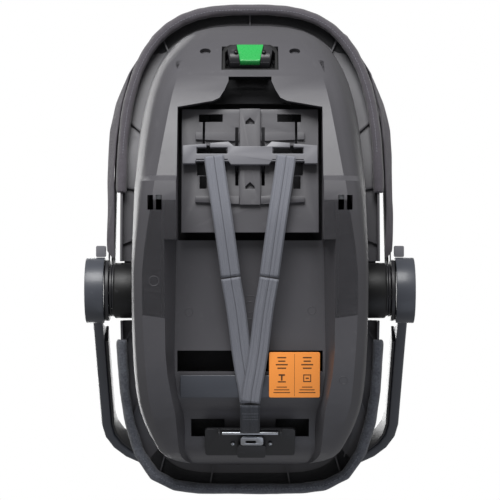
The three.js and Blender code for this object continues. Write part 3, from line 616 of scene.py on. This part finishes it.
# Stitching
def stitches(name, places, body, finish="thread", length=2.6, pitch=4.2, size=0.35):
    # places are (point, normal) pairs along a line
    points, faces = [], []
    travelled, due = 0.0, 0.0
    for (one, up), (other, _) in zip(places, places[1:]):
        gap = (other - one).length * 1000
        way = (other - one).normalized()
        while due <= travelled + gap and gap > 1e-6:
            at = one + way * (due - travelled) / 1000 + up * 0.00012
            side = way.cross(up).normalized()
            first = len(points)
            for end, wide in ((-0.5, 0.35), (-0.3, 1), (0.3, 1), (0.5, 0.35)):
                for k in range(6):
                    angle = k * math.pi / 3
                    ring = side * math.cos(angle) + up * math.sin(angle)
                    points.append(at + (way * end * length + ring * size * wide) / 1000)
            for r in range(3):
                for k in range(6):
                    j = (k + 1) % 6
                    faces.append((first + r * 6 + k, first + r * 6 + j, first + r * 6 + 6 + j, first + r * 6 + 6 + k))
            faces.append(tuple(first + k for k in range(6))[::-1])
            faces.append(tuple(first + 18 + k for k in range(6)))
            due += pitch
        travelled += gap
    return addPiece(name, points, faces, finish, body)


def surfaceOf(piece):
    graph = bpy.context.evaluated_depsgraph_get()
    return BVHTree.FromObject(piece, graph)


def onto(tree, places, reach=0.03):
    found = []
    for place in places:
        at, normal, _, _ = tree.find_nearest(place, reach)
        if at is not None:
            found.append((at, normal))
    return found


rim = {"half": 180, "middle": 394, "head": 274.5, "foot": 393, "headPower": 3, "footPower": 5}


def rimPlace(turn, outwards, height):
    cos, sin = math.cos(turn), math.sin(turn)
    power = 2 / (rim["headPower"] if sin > 0 else rim["footPower"])
    reach = rim["head"] if sin > 0 else rim["foot"]
    x = (rim["half"] + outwards) * math.copysign(abs(cos) ** power, cos)
    y = rim["middle"] + (reach + outwards) * math.copysign(abs(sin) ** power, sin)
    return seat(x, y, height)


# The cover's edge is tucked in under the rim as a near-black strip that hides the flange between the ribs: painted
# shade in the rim's channel
rimShadeStrips = {"head_rim_tuck": dict(first=-4, last=184, inner=-25, cut=(0.014, 0.97)),
               "foot_rim_tuck": dict(first=232, last=308, inner=-28, cut=(0.017, 0.287))}


def shadeStripUnderRim(name, first, last, inner, cut):
    shell = bpy.data.objects["outer_shell"]
    tree, steps, outer = surfaceOf(shell), 120, -11
    turns = [math.radians(first + (last - first) * i / steps) for i in range(steps + 1)]
    under = []  # the flange's underside, looked for from below
    for turn in turns:
        hits = [tree.ray_cast(rimPlace(turn, outer + (inner - outer) * part, -80), seatWay(0, 0, 1), 0.2)[0]
                for part in (0.2, 0.5, 0.8)]
        under.append(max([toSeat(hit)[2] for hit in hits if hit] or [-80]))
    level = [max(under[max(i - 3, 0):i + 4]) for i in range(steps + 1)]  # past the ribs
    points, faces = [], []
    for turn, top in zip(turns, level):
        section = ((outer, 0.5), (inner, 0.5), (inner, 1.5), (outer, 1.5))
        points += [rimPlace(turn, out, top - drop) for out, drop in section]
    for i in range(steps):
        for k in range(4):
            j = (k + 1) % 4
            faces.append((i * 4 + k, i * 4 + 4 + k, i * 4 + 4 + j, i * 4 + j))
    faces += [(0, 1, 2, 3), tuple(steps * 4 + k for k in (3, 2, 1, 0))]
    piece = addPiece(name, points, faces, "foam", "shell")


for name, look in rimShadeStrips.items():
    shadeStripUnderRim(name, **look)

for node, first, last, height in (("head_rim_cover", 8, 172, 30), ("foot_rim_roll", 228, 312, 34)):
    tree = surfaceOf(soft[node])
    turns = [math.radians(first + (last - first) * i / 160) for i in range(161)]
    box = [toSeat(v.co) for v in soft[node].data.vertices]
    heights = {}
    for x, y, z in box:
        heights.setdefault(round(y / 12), []).append(z)
    line = []
    for turn in turns:
        flat = toSeat(rimPlace(turn, -4, 0))
        band = heights.get(round(flat[1] / 12)) or [0]
        line.append(rimPlace(turn, -9, min(band) - 4))
    stitches(node + "_stitches", onto(tree, line), "shell")

# The bar tack where the two rear straps are sewn together
tackPlaces = {"rows": (112, 118.5, 125), "half": 10.5}
tackTree = surfaceOf(joined)
tack = []
for row in tackPlaces["rows"]:
    ends = [seat(x * tackPlaces["half"] / 10, row, -160) for x in range(-10, 11)]
    tack.append(stitches("strap_tack_" + str(int(row)), onto(tackTree, ends), "splitter", "thread", 1.7, 2.1, 0.3))
print("stitched")


# Label
def labelPlace(x, y, z=-0.05):
    return inside(labelFrame, x, y, z)


def bars(name, boxes, finish, deep=0.16):
    points, faces = [], []
    for x0, y0, x1, y1 in boxes:
        first = len(points)
        for z in (-deep, 0.02):
            points += [labelPlace(x0, y0, z), labelPlace(x1, y0, z), labelPlace(x1, y1, z), labelPlace(x0, y1, z)]
        faces += [tuple(first + k for k in f) for f in (
            (3, 2, 1, 0), (4, 5, 6, 7), (0, 1, 5, 4), (1, 2, 6, 5), (2, 3, 7, 6), (3, 0, 4, 7))]
    return addPiece(name, points, faces, finish, "shell", smooth=False)


label = {"columns": (-72, -40), "low": 4, "high": 58, "divider": -56,
         "rows": ((52.5, 5.5, 1.5), (48, 4.5, 1.5), (43.5, 7.5, 1.5), (39, 5.5, 1.5),
                  (15, 6.5, 1), (11.5, 9.5, 1), (8, 10.5, 1))}
lines = [(centre - wide, y, centre + wide, y + tall) for centre in label["columns"] for y, wide, tall in label["rows"]]
lines.append((label["divider"] - 0.2, label["low"], label["divider"] + 0.2, label["high"]))
bars("label_lines", lines, "ink")
bars("label_marks", [(-44, 30, -36, 32), (-41, 24, -39, 30), (-45, 21.5, -35, 23), (-77, 30.5, -67, 31.7),
                     (-77, 22, -67, 23.2), (-77, 23.2, -75.8, 30.5), (-68.2, 23.2, -67, 30.5),
                     (-74, 26, -70, 27.6)], "ink")
print("label printed")


# Screws with a cross recess
def screw(name, centre, out, radius, node, body):
    side = out.orthogonal().normalized()
    other = out.cross(side).normalized()
    profile = [(0, 0.95), (0.45, 0.9), (0.8, 0.62), (1, 0.2), (1, -1.2), (0, -1.2)]
    points, faces, around = [], [], 28
    for r, h in profile:
        for k in range(around):
            angle = 2 * math.pi * k / around
            flat = (side * math.cos(angle) + other * math.sin(angle)) * max(r, 0.001) * radius
            points.append(centre + flat + out * h * radius * 0.5)
    for p in range(len(profile) - 1):
        for k in range(around):
            j = (k + 1) % around
            faces.append((p * around + k, (p + 1) * around + k, (p + 1) * around + j, p * around + j))
    faces += [tuple(range(around)), tuple((len(profile) - 1) * around + k for k in range(around))[::-1]]
    head = addPiece(name, points, faces, slotOf[node], None)
    cutter = []
    for one, two in ((side, other), (other, side)):
        corners = [centre + one * a * radius * 0.62 + two * b * radius * 0.13 + out * c * radius * 0.5
                   for c in (0.35, 1.3) for a, b in ((-1, -1), (1, -1), (1, 1), (-1, 1))]
        block = addPiece(name + "_cut", corners, [
            (3, 2, 1, 0), (4, 5, 6, 7), (0, 1, 5, 4), (1, 2, 6, 5), (2, 3, 7, 6), (3, 0, 4, 7)],
            "steel", None)
        modifier(head, "BOOLEAN", operation="DIFFERENCE", object=block, solver="EXACT")
        cutter.append(block)
    bake(head)
    for block in cutter:
        bpy.data.objects.remove(block)
    modifier(head, "EDGE_SPLIT", split_angle=math.radians(34))
    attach(head, body)
    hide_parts(node)


for node, body, size in (("release_screw_left", "release", 0.0027), ("release_screw_right", "release", 0.0027),
                         ("adjuster_screw_left", "shell", 0.0026), ("adjuster_screw_right", "shell", 0.0026)):
    low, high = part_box(node)
    out = seatWay(0, 0.69, -0.72) if body == "release" else seatWay(0, -0.67, -0.74)
    screw(node + "_head", (low + high) / 2, out.normalized(), size, node, body)
print("screws cut")


# Moulding marks on the shell's underside
def ringOn(tree, name, x, y, radius, body="shell"):
    points, faces, around, ring = [], [], 40, 5
    for k in range(around):
        angle = 2 * math.pi * k / around
        below = seat(x + radius * math.cos(angle), y + radius * math.sin(angle), -300)
        at, normal, _, _ = tree.ray_cast(below, seatWay(0, 0, 1), 0.3)
        if at is None:
            return None
        out = seatWay(math.cos(angle), math.sin(angle), 0)
        for r in range(ring):
            turn = 2 * math.pi * r / ring
            points.append(at + (out * math.cos(turn) * 0.45 + seatWay(0, 0, -1) * math.sin(turn) * 0.3) / 1000)
    for k in range(around):
        j = (k + 1) % around
        for r in range(ring):
            s = (r + 1) % ring
            faces.append((k * ring + r, k * ring + s, j * ring + s, j * ring + r))
    return addPiece(name, points, faces, "shell", body)


shellTree = surfaceOf(nodes["outer_shell"])
mouldMarks = [("boss_outer", 0, 262, 14.6), ("boss_inner", 0, 262, 6.8), ("mark_left", 77, 256, 5),
              ("mark_right", -78, 258, 5), ("mark_foot", -116, 172, 5), ("mark_head", 118, 296, 6)]
madeMarks = [ringOn(shellTree, "mould_" + name, x, y, size) for name, x, y, size in mouldMarks]
print("moulding marks:", sum(m is not None for m in madeMarks), "of", len(madeMarks))

# Stage, light and camera
floorSize = 6
pale = Finish("studioFloor")
finishes["studioFloor"] = pale.set(Base_Color=linear("efeff0"), Roughness=0.9)
corners = [Vector((a * floorSize, b * floorSize, 0)) for a, b in ((-1, -1), (1, -1), (1, 1), (-1, 1))]
stage = addPiece("studio_floor", corners, [(0, 1, 2, 3)], "studioFloor", None)
clear = pale.node("ShaderNodeBsdfTransparent")
behind = pale.node("ShaderNodeNewGeometry", output="Backfacing")
end = next(n for n in pale.tree.nodes if n.type == "OUTPUT_MATERIAL")
both = pale.node("ShaderNodeMixShader", sockets={0: behind, 1: Wire(pale.shader.outputs[0]), 2: clear})
pale.tree.links.new(both.socket, end.inputs[0])
stage.visible_shadow = stage.visible_diffuse = stage.visible_glossy = False

world = bpy.data.worlds.new("studio")
bpy.context.scene.world = world
world.use_nodes = True
sky = world.node_tree
around = sky.nodes["Background"]
around.inputs[0].default_value = (1, 1, 1, 1)
around.inputs[1].default_value = 0.26
backdrop = sky.nodes.new("ShaderNodeBackground")
backdrop.inputs[0].default_value = (1, 1, 1, 1)
seen = sky.nodes.new("ShaderNodeLightPath")
shown = sky.nodes.new("ShaderNodeMixShader")
for source, target in ((seen.outputs["Is Camera Ray"], 0), (around.outputs[0], 1), (backdrop.outputs[0], 2)):
    sky.links.new(source, shown.inputs[target])
sky.links.new(shown.outputs[0], sky.nodes["World Output"].inputs[0])
bpy.context.scene.view_settings.view_transform = "Standard"

lamps = [("key", (0.3, 2.4, -0.9), 84, 1.5, "ffffff"), ("fill", (-0.6, -1.7, -1.6), 7, 1.8, "e6eeff"),
         ("left", (1.9, 0.5, -0.9), 1.8, 1.4, "ffffff"), ("right", (-1.9, 0.5, -0.9), 1.8, 1.4, "ffffff"),
         ("top", (0.4, -0.6, 2.6), 60, 2.2, "ffffff")]


def aim(thing, place, target, up=(0, 0, 1)):
    look = (Vector(target) - Vector(place)).normalized()
    right = look.cross(Vector(up)).normalized()
    above = right.cross(look)
    thing.matrix_world = Matrix([
        [right.x, above.x, -look.x, place[0]], [right.y, above.y, -look.y, place[1]],
        [right.z, above.z, -look.z, place[2]], [0, 0, 0, 1]])


for name, place, power, size, tone in lamps:
    data = bpy.data.lights.new(name, "AREA")
    data.energy, data.size, data.color = power, size, linear(tone)[:3]
    lamp = bpy.data.objects.new(name, data)
    bpy.context.scene.collection.objects.link(lamp)
    aim(lamp, place, (0, 0, 0.2))

viewFrom = {"place": (0, 0.7586, -2.4638), "look": (0, -0.2588, 0.9659), "up": (0, 0.9659, 0.2588), "lens": 150.4}
lens = bpy.data.cameras.new("camera")
lens.lens, lens.sensor_width, lens.clip_start = viewFrom["lens"], 36, 0.05
camera = bpy.data.objects.new("camera", lens)
bpy.context.scene.collection.objects.link(camera)
aim(camera, viewFrom["place"], Vector(viewFrom["place"]) + Vector(viewFrom["look"]), viewFrom["up"])
bpy.context.scene.camera = camera
print("stage set")
